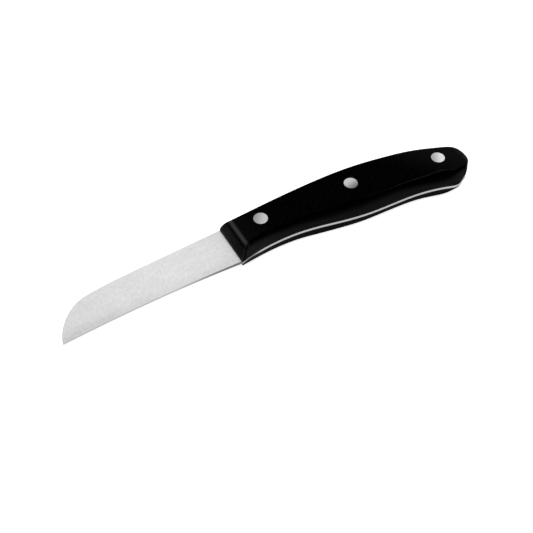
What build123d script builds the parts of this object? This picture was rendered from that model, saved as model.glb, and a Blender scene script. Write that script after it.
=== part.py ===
from build123d import *

import os

# Paring knife with a sheepsfoot blade and a full tang, lying on its right side.
#
# The blade and the tang are one flat piece of steel. A handle scale lies on each side of the
# tang, and three two-part rivets clamp the scales to it. Every rivet has a male half, headed on
# the right side, whose pin is pressed into the bored shank of a female half headed on the left.
#
# Row frame, in millimetres: X runs from the tip to the butt, Y from the cutting edge to the
# spine, and Z up through the thickness. The knife rests on the right scale's flat face at Z = 0,
# and the origin is under the middle of the whole knife.
#
# The outlines are drawn in the knife's own frame: "along" from the front of the handle towards
# the butt, and "across" from the line between heel and tip towards the spine.

# Blade
blade_length = 74.85  # front of the handle to the tip
heel_height = 19.15  # edge to spine at the handle
spine_fall = 1.42  # how far the spine comes down before the nose
nose_length = 32.0  # how far from the tip the spine starts to curve down
edge_hollow = 1.1  # depth of the slight hollow along the cutting edge
stock = 1.2  # thickness of the steel
tip_stock = 0.85  # thickness that the spine tapers to at the tip
ground_edge = 0.36  # thickness just above the edge bevel, towards the tip
edge_bevel = 0.7  # height of the bevel at the heel
tip_bevel = 0.45  # height of the bevel at the tip
cutting_edge = 0.04  # thickness left at the cutting edge

# Handle
handle_length = 110.9
handle_thickness = 11.0
hump_rise = 0.82  # highest point of the handle above the spine at the heel
beak_drop = 9.45  # lowest point of the handle below the edge line
bevel_width = 5.0  # how far the belly's bevel reaches in over the face
front_bevel = 4.5  # the same at the front of the handle
back_round = 1.2  # rounding of the long back edge and of the butt
corner_round = 1.9  # the same at the front end of the back, above the upright strip
beak_round = 0.95  # the same where the butt turns in to the beak
front_wall = 0.8  # upright strip at the front, above and below the blade
corner_wall = 0.3  # the same at the lower front corner, around the heel

# Rivets
rivet_head = 5.9
rivet_head_depth = 1.5
rivet_shank = 4.2
rivet_pin = 2.8
rivet_bore_floor = 1.2  # steel left under the female half's head
rivet_end_gap = 0.3  # between the shank's end and the other half's head
head_fit = 0.02  # radial clearances
shank_fit = 0.05
pin_fit = 0.01

# How far cutting and trimming shapes run past what they cut
overrun = 2.0

# Derived sizes
scale_thickness = (handle_thickness - stock) / 2
handle_depth = heel_height + hump_rise + beak_drop

# The nose, from the spine to the tip, in shares of its length and of its height at the start
nose_shares = [(0.223, 0.976), (0.442, 0.941), (0.583, 0.893), (0.708, 0.795), (0.823, 0.623)]
nose_shares += [(0.908, 0.436), (0.958, 0.271), (0.989, 0.122)]

# The handle's back and butt, in shares of the handle's length and of its depth from the beak up
back_shares = [(0.213, 0.982), (0.413, 1.000), (0.572, 0.974), (0.712, 0.897), (0.842, 0.783)]
butt_shares = [(0.936, 0.647), (0.988, 0.525), (1.000, 0.362)]
beak_top_share = (0.985, 0.189)  # where the butt turns in to the beak

# The beak and the belly, forwards: the same shares, then the bevel's width in shares of
# bevel_width and the upright wall under the bevel in shares of the scale's thickness
belly_shares = [
    (0.969, 0.116, 0.32, 0.28),
    (0.946, 0.065, 0.62, 0.05),
    (0.908, 0.000, 0.98, 0.10),
    (0.870, 0.029, 1.10, 0.50),
    (0.798, 0.105, 0.94, 0.63),
    (0.707, 0.155, 0.88, 0.50),
    (0.617, 0.173, 0.88, 0.44),
    (0.527, 0.196, 0.93, 0.54),
    (0.437, 0.249, 0.94, 0.64),
    (0.347, 0.325, 0.76, 0.72),
    (0.257, 0.384, 0.64, 0.66),
    (0.166, 0.401, 0.62, 0.55),
    (0.076, 0.379, 0.72, 0.43),
]
corner_bevel_share = 0.78  # bevel width at the handle's lower front corner

# Heights of the stacked outlines, in shares of the scale's thickness: the two lowest are close
# together, so that the wall stands straight up from the tang
level_shares = [0, 0.03, 0.15, 0.3, 0.45, 0.62, 0.76, 0.87, 0.94, 0.98, 1]

# How a bevel bulges out, and how softly it meets the face: 1 leaves a crease there
belly_profile = (1.6, 1)
front_profile = (1.15, 0.7)
round_profile = (2, 0.5)

# Middles of the rivets, in the same shares as the outline
rivet_shares = {"front": (0.140, 0.752), "middle": (0.523, 0.682), "rear": (0.893, 0.467)}

# Stations along the blade, in shares of its length from the handle, and how soon the grind
# fades out into the full stock at the handle
station_shares = [0, 0.12, 0.25, 0.5, 0.75, 1]
grind_fade = 4


def place(along_share, depth_share):
    """A point of the handle's outline, from its shares of length and depth."""
    return Vector(along_share * handle_length, depth_share * handle_depth - beak_drop)


# The handle's outline: each point with its bevel's width, wall and profile
rounded = [(place(*shares), back_round) for shares in back_shares + butt_shares]
rounded += [(place(*beak_top_share), beak_round)]
outline = [(Vector(0, heel_height), corner_round, front_wall, round_profile)]
outline += [(point, size, scale_thickness - size, round_profile) for point, size in rounded]
outline += [
    (place(along, depth), bevel * bevel_width, wall * scale_thickness, belly_profile)
    for along, depth, bevel, wall in belly_shares
]
outline += [(Vector(0, 0), corner_bevel_share * bevel_width, corner_wall, belly_profile)]


def inset(width, wall, profile, height):
    """How far a bevel has come in at this height above the tang, over the wall below it."""
    bulge, softness = profile
    share = max(0, height - wall) / (scale_thickness - wall)
    return width * (1 - (1 - share**bulge) ** softness)


def level_points(height):
    """The outline's points at this height above the tang, moved in by each one's bevel."""
    points = []
    for i, (point, *bevel) in enumerate(outline):
        before, after = outline[max(i - 1, 0)][0], outline[min(i + 1, len(outline) - 1)][0]
        inward = (after - before).rotate(Axis.Z, -90).normalized()
        if point.X == 0:
            inward = Vector(0, -1 if point.Y > 0 else 1)
        moved = point + inward * inset(*bevel, height)
        if point.X == 0:
            moved += Vector(inset(front_bevel, front_wall, front_profile, height), 0)
        points.append(moved)
    return points


# The tang's outline, whose extent sets where the row's origin is
with BuildSketch() as tang_outline:
    with BuildLine():
        tang_edge = Spline(*level_points(0))
        Line(tang_edge @ 1, tang_edge @ 0)
    make_face()
handle_box = tang_outline.sketch.bounding_box()
front_x = (blade_length - handle_box.max.X) / 2
edge_y = -(handle_box.min.Y + handle_box.max.Y) / 2
knife = Plane(origin=(front_x, edge_y, handle_thickness / 2))
rivets = {name: place(*shares) for name, shares in rivet_shares.items()}


def blade_section(share):
    """The ground blade's section at a share of its length: its corners, in (across, up)."""
    foot = edge_hollow * 4 * share * (1 - share)
    bevel = edge_bevel + (tip_bevel - edge_bevel) * share
    spine = heel_height - spine_fall * share
    spine_width = stock + (tip_stock - stock) * share
    ground_width = ground_edge + (stock - ground_edge) * (1 - share) ** grind_fade
    slope = (spine_width - ground_width) / (spine - foot - bevel)
    top, top_width = spine + overrun, spine_width + slope * overrun
    half = [(foot, cutting_edge / 2), (foot + bevel, ground_width / 2), (top, top_width / 2)]
    return half + [(across, -up) for across, up in reversed(half)]


# Blade and tang, one piece of steel
nose_top = heel_height - spine_fall
nose = [
    Vector(-(blade_length - nose_length) - along * nose_length, across * nose_top)
    for along, across in nose_shares
]
with BuildPart() as blade:
    for share in station_shares:
        station = Plane(
            origin=knife.from_local_coords(Vector(-share * blade_length, 0, 0)),
            x_dir=(0, 1, 0),
            z_dir=(1, 0, 0),
        )
        with BuildSketch(station):
            with BuildLine():
                Polyline(*blade_section(share), close=True)
            make_face()
    loft()
    with BuildSketch(knife):
        with BuildLine():
            spine_start = Vector(0, heel_height)
            nose_start = Vector(nose_length - blade_length, nose_top)
            tip = Vector(-blade_length, 0)
            Line(spine_start, nose_start)
            Spline(nose_start, *nose, tip, tangents=(nose_start - spine_start, Vector(0, -1)))
            Polyline(tip, (-blade_length, -overrun), (0, -overrun), spine_start)
        make_face()
    extrude(amount=stock, both=True, mode=Mode.INTERSECT)
    with BuildSketch(knife):
        add(tang_outline.sketch)
    extrude(amount=stock / 2, both=True)
    with Locations(*[knife.from_local_coords(middle) for middle in rivets.values()]):
        Hole(radius=rivet_shank / 2 + shank_fit)

# The left scale, built up from outlines that close in towards its face
with BuildPart() as left_scale:
    for share in level_shares:
        height = share * scale_thickness
        with BuildSketch(knife.offset(stock / 2 + height)):
            with BuildLine():
                side = Spline(*level_points(height))
                Line(side @ 1, side @ 0)
            make_face()
    loft()
    left_face = knife.offset(handle_thickness / 2)
    with Locations(*[left_face.from_local_coords(middle) for middle in rivets.values()]):
        CounterBoreHole(
            radius=rivet_shank / 2 + shank_fit,
            counter_bore_radius=rivet_head / 2 + head_fit,
            counter_bore_depth=rivet_head_depth,
        )

# The right scale is the left one's mirror image
with BuildPart() as right_scale:
    mirror(left_scale.part, about=knife)

# A female rivet half: its head lies in the left scale and its bored shank reaches down
shank_length = handle_thickness - 2 * rivet_head_depth - rivet_end_gap
with BuildPart() as female_half:
    with BuildSketch(knife.offset(handle_thickness / 2)):
        Circle(rivet_head / 2)
    extrude(amount=-rivet_head_depth)
    with BuildSketch(knife.offset(handle_thickness / 2 - rivet_head_depth)):
        Circle(rivet_shank / 2)
    extrude(amount=-shank_length)
    with BuildSketch(knife.offset(handle_thickness / 2 - rivet_bore_floor)):
        Circle(rivet_pin / 2 + pin_fit)
    extrude(amount=-(shank_length + rivet_head_depth), mode=Mode.SUBTRACT)

# A male rivet half: its head lies in the right scale and its pin fills the shank's bore
pin_length = handle_thickness - rivet_head_depth - rivet_bore_floor - rivet_end_gap
with BuildPart() as male_half:
    with BuildSketch(knife.offset(-handle_thickness / 2)):
        Circle(rivet_head / 2)
    extrude(amount=rivet_head_depth)
    with BuildSketch(knife.offset(rivet_head_depth - handle_thickness / 2)):
        Circle(rivet_pin / 2)
    extrude(amount=pin_length)

pieces = {"blade": blade, "left_scale": left_scale, "right_scale": right_scale}
for name, middle in rivets.items():
    for half_name, half in {"female": female_half, "male": male_half}.items():
        with BuildPart() as rivet:
            with Locations(middle):
                add(half.part)
        pieces[f"{name}_rivet_{half_name}"] = rivet

os.makedirs("parts", exist_ok=True)
for name, piece in pieces.items():
    piece.part.label = name
    export_step(piece.part, f"parts/{name}.step")
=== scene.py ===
from math import cos, radians, sin

import bpy
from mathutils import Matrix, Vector


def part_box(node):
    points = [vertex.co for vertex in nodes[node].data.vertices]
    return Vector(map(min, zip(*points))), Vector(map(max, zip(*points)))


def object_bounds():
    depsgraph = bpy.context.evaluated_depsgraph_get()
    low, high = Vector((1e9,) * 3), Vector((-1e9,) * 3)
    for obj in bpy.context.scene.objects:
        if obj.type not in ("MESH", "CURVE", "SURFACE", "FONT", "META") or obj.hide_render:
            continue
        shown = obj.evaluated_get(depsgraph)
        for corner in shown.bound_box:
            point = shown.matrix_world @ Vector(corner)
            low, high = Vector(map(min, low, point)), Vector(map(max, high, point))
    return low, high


# A paring knife lying on its right side on a white table, in metres.
# +X runs from the tip to the butt, +Y from the cutting edge to the spine, +Z up.

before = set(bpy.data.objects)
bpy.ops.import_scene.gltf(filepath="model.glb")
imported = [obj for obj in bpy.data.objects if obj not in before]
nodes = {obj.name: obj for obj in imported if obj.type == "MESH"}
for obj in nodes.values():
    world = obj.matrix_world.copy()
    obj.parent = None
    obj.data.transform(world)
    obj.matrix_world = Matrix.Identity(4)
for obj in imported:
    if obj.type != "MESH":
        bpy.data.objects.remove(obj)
cad_low, cad_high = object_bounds()
middle = (cad_low + cad_high) / 2

MM = 0.001

# Camera: the point it looks at, measured from the middle of the knife, and where it stands
LOOK_ALONG = -10.6 * MM
LOOK_ACROSS = -11.3 * MM
CAMERA_DISTANCE = 297 * MM
CAMERA_AZIMUTH = -30.07
CAMERA_ELEVATION = 53.09
FIELD_OF_VIEW = 38.97

# Table: the length of its sides, and what it adds to its own white where it is seen straight
# and where it is seen in a reflection
TABLE_SIZE = 3.0
TABLE_GLOW = 0.75
MIRRORED_GLOW = 0.25

# Studio: how strongly it lights the knife from all round
STUDIO_FILL = 0.55

# Lamps, all at one distance: the azimuth, elevation, size and watts of each
LAMP_REACH = 700 * MM
LAMPS = {
    "overhead": (-20, 75, 500 * MM, 1.6),
    "back_left": (-134, 41, 260 * MM, 0.6),
}

# Rivets: the way to the brighter side of each one's painted sheen, in degrees from +X, and the
# darkest and palest grey of that painted sheen
RIVETS = {
    "front": (-35, 0.30, 0.54),
    "middle": (100, 0.18, 0.58),
    "rear": (-30, 0.38, 0.74),
}

# Blade: how far in front of the handle the painted reflection on its flat is palest, and how soon
# that painted reflection darkens both ways
PALEST_REFLECTION_REACH = 27 * MM
REFLECTION_FALLOFF_LENGTH = 280 * MM

# Handle: how much the black plastic shines at each of its bright places, as a satin coat on its
# walls and back and as painted highlights and a painted reflection elsewhere, and how much of that
# the painted shade of the dark line below the mitre takes away
WALL_SHINE = 0.16
BLADE_REFLECTION_SHINE = 0.16
RIDGE_HIGHLIGHT = 0.8
MITRE_HIGHLIGHT = 0.07
MITRE_SHADE = 0.75
CREASE_HIGHLIGHT = 0.28
BACK_SHINE = 0.05

# The mitre's rise from the cutting edge's line for each millimetre back along the handle
MITRE_SLOPE = 0.97

# Cell size along Z, in metres, of a pattern that goes straight down through the steel
THROUGH = 1.0

# Sockets of the Mix node for colours, by number, because its names come once for each data type
MIX_SHARE, MIX_COLOUR, MIX_OTHER, MIX_RESULT = 0, 6, 7, 2

# The knife's own points and sizes, from model.glb: the tip of the blade, which lies on the line
# of the cutting edge, the front of the handle, its length and half its thickness
blade_points = (vertex.co for vertex in nodes["blade"].data.vertices)
tip = min(blade_points, key=lambda point: point.x).copy()
scale_low, scale_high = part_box("left_scale")
front_x = scale_low.x
handle_length = scale_high.x - front_x
half_thickness = (cad_high.z - cad_low.z) / 2


def aim(obj, place, target):
    """Puts a lamp or a camera at a place, facing a target."""
    obj.location = place
    obj.rotation_euler = (target - place).to_track_quat("-Z", "Y").to_euler()


def direction(azimuth, elevation):
    """The way from the knife to a lamp or camera. Azimuth 0 is in front of the cutting edge."""
    a, e = radians(azimuth), radians(elevation)
    return Vector((sin(a) * cos(e), -cos(a) * cos(e), sin(e)))


class Link:
    """A shader node's output. Arithmetic on it adds Math nodes."""

    def __init__(self, finish, socket):
        self.finish = finish
        self.socket = socket

    def math(self, operation, *values):
        return self.finish.node("ShaderNodeMath", {"operation": operation}, dict(enumerate(values)))

    def __add__(self, other):
        return self.math("ADD", self, other)

    def __sub__(self, other):
        return self.math("SUBTRACT", self, other)

    def __rsub__(self, other):
        return self.math("SUBTRACT", other, self)

    def __mul__(self, other):
        return self.math("MULTIPLY", self, other)

    def __truediv__(self, other):
        return self.math("DIVIDE", self, other)

    def __rtruediv__(self, other):
        return self.math("DIVIDE", other, self)

    def __abs__(self):
        return self.math("ABSOLUTE", self)

    __radd__ = __add__
    __rmul__ = __mul__


class Finish:
    """A material, or the world, under construction."""

    def __init__(self, owner):
        owner.use_nodes = True
        self.tree = owner.node_tree
        self.tree.nodes.clear()

    def node(self, kind, settings=None, inputs=None, output=0):
        """Adds a node, with its settings first and then its sockets, and returns one output."""
        made = self.tree.nodes.new(kind)
        for name, value in (settings or {}).items():
            setattr(made, name, value)
        for name, value in (inputs or {}).items():
            if isinstance(value, Link):
                self.tree.links.new(value.socket, made.inputs[name])
            else:
                made.inputs[name].default_value = value
        if made.outputs:
            return Link(self, made.outputs[output])

    def place(self):
        """Where a point of the surface is."""
        return self.node("ShaderNodeTexCoord", output="Object")

    def facing(self):
        """The way that the surface faces."""
        return self.node("ShaderNodeTexCoord", output="Normal")

    def parts(self, vector, axes="XYZ"):
        """These parts of a vector."""
        return [self.node("ShaderNodeSeparateXYZ", {}, {0: vector}, axis) for axis in axes]

    def knife_place(self):
        """Distances behind the handle's front, in from the edge's line and over the middle."""
        along, across, up = self.parts(self.place())
        return along - front_x, across - tip.y, up - middle.z

    def noise(self, cell, detail, offset=(0, 0, 0)):
        """Noise from 0 to 1 whose cells have this size along X, Y and Z."""
        stretched = self.node(
            "ShaderNodeMapping",
            {},
            {"Vector": self.place(), "Location": offset, "Scale": [1 / size for size in cell]},
        )
        return self.node(
            "ShaderNodeTexNoise",
            {"noise_dimensions": "3D"},
            {"Vector": stretched, "Scale": 1.0, "Detail": detail, "Roughness": 0.55},
            "Fac",
        )

    def ease(self, value, start, end, low=0.0, high=1.0):
        """Goes smoothly from low to high as the value goes from start to end."""
        return self.node(
            "ShaderNodeMapRange",
            {"interpolation_type": "SMOOTHSTEP"},
            {"Value": value, "From Min": start, "From Max": end, "To Min": low, "To Max": high},
        )

    def near(self, value, centre, full, gone):
        """1 up to the distance full from the centre, falling to 0 at the distance gone."""
        return self.ease(abs(value - centre), gone, full)

    def blend(self, share, colour, other):
        """A colour that goes from the first to the other as the share goes from 0 to 1."""
        settings = {"data_type": "RGBA", "clamp_factor": True}
        inputs = {MIX_SHARE: share, MIX_COLOUR: colour, MIX_OTHER: other}
        return self.node("ShaderNodeMix", settings, inputs, MIX_RESULT)

    def bump(self, height, depth, strength):
        """A surface normal that follows a pattern, which rises and falls by this depth."""
        inputs = {"Height": height, "Distance": depth, "Strength": strength}
        return self.node("ShaderNodeBump", {}, inputs)

    def surface(self, **sockets):
        """Finishes the material with a Principled shader."""
        named = {name.replace("_", " "): value for name, value in sockets.items()}
        shader = self.node("ShaderNodeBsdfPrincipled", {}, named)
        self.node("ShaderNodeOutputMaterial", {}, {"Surface": shader})


def grey(level):
    """An opaque grey."""
    return (level, level, level, 1.0)


def swing(noise, amount):
    """Noise moved to swing about zero, by half this amount each way."""
    return (noise - 0.5) * amount


def blade_steel(finish):
    """Satin steel, ground across the blade, with painted reflection and shade on its flat, painted
    shade on the bevel along the cutting edge, and painted shade on the narrow sides at the heel.
    """
    behind, from_edge, over_middle = finish.knife_place()
    lean, upright = finish.parts(finish.facing(), "YZ")
    # Greys of the flat, of the painted shade on the bevel at the heel and tip, and of the narrow
    # sides with their painted shade and shadow at the heel
    dull, pale = grey(0.50), grey(0.86)
    bevel_heel_shade, bevel_tip_shade = grey(0.18), grey(0.53)
    side, side_heel_shade, side_heel_shadow = grey(0.60), grey(0.28), grey(0.06)

    # Lines ground across the blade, small and large mottling, and dark flecks
    grain = finish.noise((0.3 * MM, 3 * MM, THROUGH), detail=4.0)
    mottle = finish.noise((0.85 * MM, 1.7 * MM, THROUGH), detail=3.0, offset=(3, 1, 0))
    cloud = finish.noise((7 * MM, 4 * MM, THROUGH), detail=2.0, offset=(1, 5, 0))
    fleck = finish.noise((0.5 * MM, 0.7 * MM, THROUGH), detail=1.0, offset=(9, 4, 0))
    flecks = finish.ease(fleck, 0.68, 0.8, high=0.3)
    texture = swing(mottle, 0.68) + swing(grain, 0.22) + swing(cloud, 0.3) - flecks

    # Painted reflection and shade: the flat darkens both ways from its palest place, and painted
    # shade darkens it also beside the handle and low down, most of all towards the tip
    reflection_falloff = abs(behind + PALEST_REFLECTION_REACH) / REFLECTION_FALLOFF_LENGTH
    handle_shade = finish.ease(behind, -10 * MM, 0.0, high=0.08)
    low_edge_shade = finish.ease(from_edge, 7 * MM, 1 * MM)
    low_edge_shade = low_edge_shade * finish.ease(behind, -30 * MM, -60 * MM, low=0.15, high=0.27)
    flat = finish.blend(0.70 - reflection_falloff - handle_shade - low_edge_shade + texture, dull, pale)

    # The bevel along the cutting edge leans outwards, and is painted with shade, darkest at the
    # heel
    on_bevel = finish.ease(abs(upright), 0.99, 0.97) * finish.ease(lean, -0.1, -0.2)
    towards_tip = finish.ease(behind, -3 * MM, -32 * MM)
    bevel = finish.blend(towards_tip, bevel_heel_shade, bevel_tip_shade)

    # The narrow sides, which show as the tang's line between the scales. Painted shade darkens them
    # where the heel goes into the handle, and a painted shadow makes their lower half all but black
    # there
    on_side = finish.ease(abs(upright), 0.6, 0.4)
    heel_shade = finish.near(behind, 4 * MM, full=1 * MM, gone=6 * MM)
    heel_shadow = finish.ease(over_middle, 0.1 * MM, -0.3 * MM) * heel_shade
    narrow = finish.blend(heel_shadow, finish.blend(heel_shade, side, side_heel_shade), side_heel_shadow)

    finish.surface(
        Base_Color=finish.blend(on_side, finish.blend(on_bevel, flat, bevel), narrow),
        Metallic=1.0,
        Roughness=0.40 + swing(grain, 0.16),
        Normal=finish.bump(grain, depth=0.004 * MM, strength=0.5),
    )


def handle_plastic(finish):
    """Black moulded plastic, ground to a satin that shines a little on its walls, with painted
    highlights on its edges, a painted reflection beside the blade and painted shade below the
    mitre.
    """
    behind, from_edge, over_middle = finish.knife_place()
    tilt, lean, upright = finish.parts(finish.facing())
    from_middle = abs(over_middle)
    under_face = half_thickness - from_middle
    facing_blade = finish.ease(tilt, -0.2, -0.5)
    black, wear_and_sheen = grey(0.0002), grey(0.006)

    # The moulded skin, patches where it is rubbed, and pale specks
    skin = finish.noise((0.12 * MM, 0.12 * MM, 0.12 * MM), detail=2.0)
    rub = finish.noise((2.5 * MM, 1.2 * MM, 1.2 * MM), detail=3.0, offset=(5, 0, 0))
    speck = finish.noise((1.3 * MM, 1.1 * MM, 1.1 * MM), detail=2.0, offset=(2, 7, 0))

    # The walls beside the tang shine with a satin coat, less towards the face, where the coat stops
    # to paint shade into the dark band under the crease. The shine is painted to stop lower on the
    # bevel towards the butt, and to go all the way up at the butt itself
    towards_butt = finish.ease(behind, 0.6 * handle_length, 0.8 * handle_length)
    at_butt = finish.ease(behind, 0.955 * handle_length, 0.99 * handle_length)
    reach = under_face - towards_butt * (0.35 * MM) + at_butt * (2 * MM)
    walls = finish.ease(reach, 0.35 * MM, 1.9 * MM)

    # Painted sheen: a wall that stands straight up shines less. The belly shines most at its front
    # end, and the front bevel shines more at its top and less at its foot
    leaning = finish.ease(abs(upright), 0.1, 0.6, low=0.7)
    front_belly = finish.ease(behind, 24 * MM, 8 * MM, high=0.6) * (1 - facing_blade)
    front_foot = finish.ease(from_edge, 14 * MM, 4 * MM, low=-0.15, high=0.25) * facing_blade
    walls = walls * leaning * (1 + front_belly) * (1 - front_foot)

    # A painted reflection on the strip of wall beside the blade, and a painted highlight on the
    # ridge where the front bevel meets the face
    blade_reflection_strip = finish.ease(from_middle, 2.6 * MM, 1.2 * MM) * facing_blade
    ridge_highlight = finish.ease(behind, 3.0 * MM, 4.0 * MM) * finish.ease(behind, 5.5 * MM, 4.1 * MM)
    ridge_highlight = ridge_highlight * finish.ease(from_edge, 2 * MM, 6 * MM)
    ridge_highlight = ridge_highlight * finish.ease(under_face, 1.3 * MM, 0.7 * MM)

    # The mitre where the front bevel meets the belly's: a painted highlight along it with a painted
    # shade line below it
    over_mitre = from_edge - behind * MITRE_SLOPE
    at_mitre = finish.ease(behind, 4.8 * MM, 4.2 * MM)
    mitre_highlight = finish.near(over_mitre, 0.3 * MM, full=0.2 * MM, gone=0.8 * MM) * at_mitre
    mitre_shade_line = finish.near(over_mitre, -0.75 * MM, full=0.2 * MM, gone=0.65 * MM) * at_mitre

    # The crease between the face and the belly's bevel towards the butt, with a painted highlight,
    # and the rounded back
    crease_highlight = finish.ease(under_face, 0.2 * MM, 0.05 * MM) * finish.ease(abs(upright), 0.995, 0.98)
    crease_highlight = crease_highlight * finish.ease(behind, 0.5 * handle_length, 0.7 * handle_length)
    back = finish.ease(lean, 0.1, 0.4) * finish.ease(under_face, 2.1 * MM, 0.9 * MM)

    # The coat: a satin on the walls and back, painted highlights on the ridge, mitre and crease, a
    # painted reflection beside the blade, and painted shade below the mitre
    shine = walls * (rub * 0.6 + 0.7) * WALL_SHINE + blade_reflection_strip * BLADE_REFLECTION_SHINE
    shine = shine + ridge_highlight * RIDGE_HIGHLIGHT + crease_highlight * rub * CREASE_HIGHLIGHT
    shine = shine + back * BACK_SHINE + mitre_highlight * MITRE_HIGHLIGHT
    shine = shine * (1 - mitre_shade_line * MITRE_SHADE)

    # The face is all but black, with pale specks, and a painted sheen makes it paler at the front
    # and towards the butt's upper corner
    on_face = finish.ease(abs(upright), 0.97, 0.995)
    front = finish.ease(behind, 18 * MM, 5 * MM, high=0.4)
    to_corner = behind + from_edge * 0.8
    butt = finish.ease(to_corner, 0.76 * handle_length, 0.98 * handle_length, high=0.7)
    specks = finish.ease(speck, 0.35, 0.7, high=0.3)

    finish.surface(
        Base_Color=finish.blend((front + butt + specks) * on_face, black, wear_and_sheen),
        Roughness=0.36 + swing(rub, 0.12),
        Specular_IOR_Level=0.0,
        Coat_Weight=shine,
        Coat_Roughness=0.3,
        Normal=finish.bump(skin, depth=0.002 * MM, strength=0.35),
    )


def rivet_steel(finish, centre, radius, sheen_way, dark, bright):
    """Satin steel, ground flush with the scales, with a painted sheen that makes it brighter on one
    side.
    """
    along, across = finish.parts(finish.place(), "XY")
    scratch = finish.noise((2.5 * MM, 0.10 * MM, THROUGH), detail=3.0)

    # The painted sheen, from -1 at the rim on the darker side to 1 at the rim on the brighter side
    a = radians(sheen_way)
    side = (along - centre.x) * (cos(a) / radius) + (across - centre.y) * (sin(a) / radius)
    share = finish.ease(side, -1.0, 0.7) + swing(scratch, 0.5)
    finish.surface(
        Base_Color=finish.blend(share, grey(dark), grey(bright)),
        Metallic=1.0,
        Roughness=0.36 + swing(scratch, 0.14),
        Normal=finish.bump(scratch, depth=0.003 * MM, strength=0.4),
    )


def dress(names, finish_name, build, *measures):
    """Gives these CAD nodes one new material."""
    material = bpy.data.materials.new(finish_name)
    build(Finish(material), *measures)
    for name in names:
        nodes[name].data.materials[0] = material


dress(["blade"], "blade_steel", blade_steel)
dress(["left_scale", "right_scale"], "handle_plastic", handle_plastic)
# Each rivet gets its own copy of the steel, with its painted sheen towards its own side
for rivet, looks in RIVETS.items():
    halves = [rivet + "_rivet_female", rivet + "_rivet_male"]
    low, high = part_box(halves[0])
    centre, radius = (low + high) / 2, (high.x - low.x) / 2
    dress(halves, rivet + "_rivet_steel_sheen", rivet_steel, centre, radius, *looks)


def seen(finish, *rays):
    """1 for these kinds of ray, and 0 for the light that falls on things."""
    found = [finish.node("ShaderNodeLightPath", output="Is " + ray + " Ray") for ray in rays]
    return sum(found, 0.0)


def table_white(finish):
    """A white table that shows as bright as the background, and keeps a soft shadow."""
    straight, mirrored = seen(finish, "Camera"), seen(finish, "Glossy", "Transmission")
    strength = straight * TABLE_GLOW + mirrored * MIRRORED_GLOW
    white = finish.node("ShaderNodeBsdfDiffuse", {}, {"Color": grey(0.8)})
    glow = finish.node("ShaderNodeEmission", {}, {"Color": grey(1.0), "Strength": strength})
    both = finish.node("ShaderNodeAddShader", {}, {0: white, 1: glow})
    finish.node("ShaderNodeOutputMaterial", {}, {"Surface": both})


def studio_white(finish):
    """A studio that is white where it is seen, and lights the knife softly from all round."""
    white = seen(finish, "Camera", "Glossy", "Transmission")
    strength = white * (1 - STUDIO_FILL) + STUDIO_FILL
    light = finish.node("ShaderNodeBackground", {}, {"Color": grey(1.0), "Strength": strength})
    finish.node("ShaderNodeOutputWorld", {}, {"Surface": light})


bpy.ops.object.select_all(action="DESELECT")
bpy.ops.mesh.primitive_plane_add(size=TABLE_SIZE, location=(middle.x, middle.y, cad_low.z))
table = bpy.context.object
table.name = "table"
table.data.materials.append(bpy.data.materials.new("table_white"))
table_white(Finish(table.data.materials[0]))

studio = bpy.data.worlds.new("studio")
studio_white(Finish(studio))
bpy.context.scene.world = studio


def softbox(name, azimuth, elevation, size, power):
    """A square soft light that faces the knife, and doesn't show in the steel."""
    light = bpy.data.lights.new(name, "AREA")
    light.shape = "SQUARE"
    light.size = size
    light.energy = power
    lamp = bpy.data.objects.new(name, light)
    lamp.visible_glossy = False
    bpy.context.scene.collection.objects.link(lamp)
    aim(lamp, middle + direction(azimuth, elevation) * LAMP_REACH, middle)


for lamp_name, measures in LAMPS.items():
    softbox(lamp_name, *measures)

lens = bpy.data.cameras.new("camera")
lens.angle = radians(FIELD_OF_VIEW)
lens.clip_start = CAMERA_DISTANCE / 100
lens.clip_end = TABLE_SIZE * 4
camera = bpy.data.objects.new("camera", lens)
bpy.context.scene.collection.objects.link(camera)
bpy.context.scene.camera = camera
look_at = middle + Vector((LOOK_ALONG, LOOK_ACROSS, 0))
aim(camera, look_at + direction(CAMERA_AZIMUTH, CAMERA_ELEVATION) * CAMERA_DISTANCE, look_at)

bpy.context.scene.view_settings.view_transform = "Standard"
